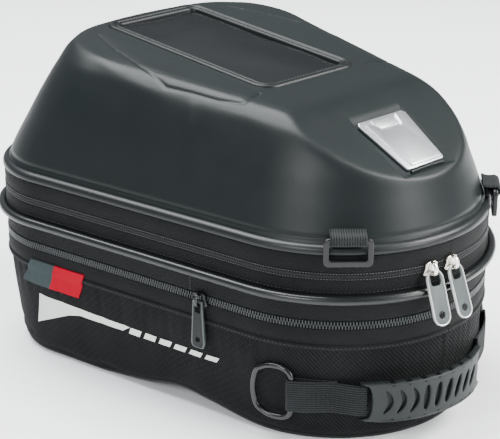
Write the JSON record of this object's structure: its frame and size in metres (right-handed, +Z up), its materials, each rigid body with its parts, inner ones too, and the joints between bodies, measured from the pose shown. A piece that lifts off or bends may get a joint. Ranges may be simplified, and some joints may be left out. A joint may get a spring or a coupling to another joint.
{
  "type": "motorcycle tank bag",
  "caption": "Expandable motorcycle tank bag: moulded zip-open lid with a clear map and phone window, fabric sides, a carry handle and a quick-lock socket under a saddle plate.",
  "frame": {"origin": "on the ground, under the middle of the whole bag's bounding box", "axes": "+Z up, +Y towards the front of the motorcycle where the lid is hinged, +X to the right of a rider who looks forward; X = 0 is the plane of symmetry of the bag's body"},
  "size_m": [0.286, 0.3721, 0.2248],
  "materials": {
    "ballistic_fabric": "coarse diagonal woven nylon",
    "band_fabric": "tight plain weave, slightly coated",
    "plate_plastic": "fine grained moulding",
    "lock_plastic": "smooth moulding",
    "lining_fabric": "thin smooth lining cloth",
    "zip_coil": "black reverse coil",
    "zip_teeth_grey": "dark grey moulded teeth",
    "piping_gloss": "glossy extruded cord",
    "trim_rubber": "satin rubberised strip",
    "shell_molded": "satin moulded foam shell with fine grain",
    "window_rim": "satin welded rim",
    "clear_film": "clear flexible film",
    "badge_metal": "satin silver",
    "webbing": "ribbed webbing",
    "ring_plastic": "moulded acetal",
    "ring_wire": "black coated wire",
    "grip_rubber": "matt moulded rubber",
    "slider_metal": "nickel plated",
    "slider_black": "black enamel",
    "puller_satin": "soft grey moulding with a bright rim",
    "pull_rubber": "matt moulded rubber",
    "print_reflective": "retro-reflective print",
    "label_red": "woven label",
    "label_grey": "woven label",
    "screw_steel": "zinc plated"
  },
  "bodies": {
    "base": {"lower_wall": "ballistic_fabric", "base_plate": "plate_plastic", "bottom_board": "plate_plastic", "lower_lining": "lining_fabric", "rim_band": "band_fabric", "expansion_zip_lower_teeth": "zip_teeth_grey", "expansion_gusset": "lining_fabric", "side_label_red": "label_red", "side_label_grey": "label_grey", "reflective_print_left": "print_reflective", "reflective_print_right": "print_reflective", "lock_housing": "plate_plastic", "lock_screws": "screw_steel", "lock_backing_ring": "plate_plastic", "handle_patch_left": "webbing", "handle_patch_right": "webbing", "handle_strap_left": "webbing", "handle_strap_right": "webbing"},
    "latch": {"lock_latch": "lock_plastic", "release_tab": "webbing"},
    "collar": {"collar_band": "band_fabric", "collar_piping": "piping_gloss", "collar_lining": "lining_fabric", "expansion_zip_upper_teeth": "zip_teeth_grey", "main_zip_lower_teeth": "zip_coil"},
    "expansion_slider": {"expansion_slider": "slider_black"},
    "expansion_pull": {"expansion_pull": "pull_rubber"},
    "slider_left": {"main_slider_left": "slider_metal"},
    "slider_right": {"main_slider_right": "slider_metal"},
    "puller_left": {"main_puller_left": "puller_satin"},
    "puller_right": {"main_puller_right": "puller_satin"},
    "lid": {"top_shell": "shell_molded", "trim_strip": "trim_rubber", "lid_band": "band_fabric", "lid_hinge_tape": "band_fabric", "lid_lining": "lining_fabric", "main_zip_upper_teeth": "zip_coil", "window_frame": "window_rim", "window_film": "clear_film", "phone_pocket": "lining_fabric", "badge_plate": "badge_metal", "strap_loop_left": "webbing", "strap_loop_right": "webbing"},
    "strap_ring_left": {"strap_ring_left": "ring_plastic"},
    "strap_ring_right": {"strap_ring_right": "ring_plastic"},
    "handle": {"handle_grip": "grip_rubber"},
    "d_ring_left": {"d_ring_left": "ring_wire"},
    "d_ring_right": {"d_ring_right": "ring_wire"}
  },
  "joints": [
    {"name": "latch_draw", "type": "slide", "parent": "base", "child": "latch", "axis": [-1, 0, 0], "range_m": [-0.0035, 0]},
    {"name": "collar_rise", "type": "slide", "parent": "base", "child": "collar", "axis": [0, 0, 1], "range_m": [0, 0.04], "deforming": ["expansion_gusset"]},
    {"name": "expansion_slider_run", "type": "slide", "parent": "base", "child": "expansion_slider", "axis": [-0.1908, 0.9816, 0], "range_m": [-0.035, 0.11]},
    {"name": "expansion_pull_swing", "type": "hinge", "parent": "expansion_slider", "child": "expansion_pull", "pos_m": [-0.11131, -0.04794, 0.0851], "axis": [-0.1908, 0.9816, 0], "range_deg": [0, 130]},
    {"name": "slider_left_run", "type": "hinge", "parent": "collar", "child": "slider_left", "pos_m": [0, -0.064, 0.12], "axis": [0, 0, 1], "range_deg": [-60, 0]},
    {"name": "slider_right_run", "type": "hinge", "parent": "collar", "child": "slider_right", "pos_m": [0, -0.064, 0.12], "axis": [0, 0, 1], "range_deg": [0, 60]},
    {"name": "puller_left_swing", "type": "hinge", "parent": "slider_left", "child": "puller_left", "pos_m": [-0.02026, -0.16825, 0.1186], "axis": [-0.9816, 0.1908, 0], "range_deg": [0, 130]},
    {"name": "puller_right_swing", "type": "hinge", "parent": "slider_right", "child": "puller_right", "pos_m": [-0.00278, -0.17016, 0.1186], "axis": [-0.9997, 0.0262, 0], "range_deg": [0, 130]},
    {"name": "lid_hinge", "type": "hinge", "parent": "collar", "child": "lid", "pos_m": [0, 0.1818, 0.12], "axis": [-1, 0, 0], "range_deg": [0, 100]},
    {"name": "strap_ring_left_swing", "type": "hinge", "parent": "lid", "child": "strap_ring_left", "pos_m": [-0.07039, -0.14218, 0.1455], "axis": [-0.7431, 0.6691, 0], "range_deg": [0, 100]},
    {"name": "strap_ring_right_swing", "type": "hinge", "parent": "lid", "child": "strap_ring_right", "pos_m": [0.07039, -0.14218, 0.1455], "axis": [-0.7431, -0.6691, 0], "range_deg": [0, 100]},
    {"name": "handle_lift", "type": "hinge", "parent": "base", "child": "handle", "pos_m": [-0.01617, -0.15569, 0.0355], "axis": [-0.9848, 0.1736, 0], "range_deg": [0, 20]},
    {"name": "d_ring_left_swing", "type": "hinge", "parent": "base", "child": "d_ring_left", "pos_m": [-0.09007, -0.11393, 0.0355], "axis": [0, 0, 1], "range_deg": [0, 140]},
    {"name": "d_ring_right_swing", "type": "hinge", "parent": "base", "child": "d_ring_right", "pos_m": [0.07889, -0.13019, 0.0355], "axis": [0, 0, -1], "range_deg": [0, 140]}
  ]
}
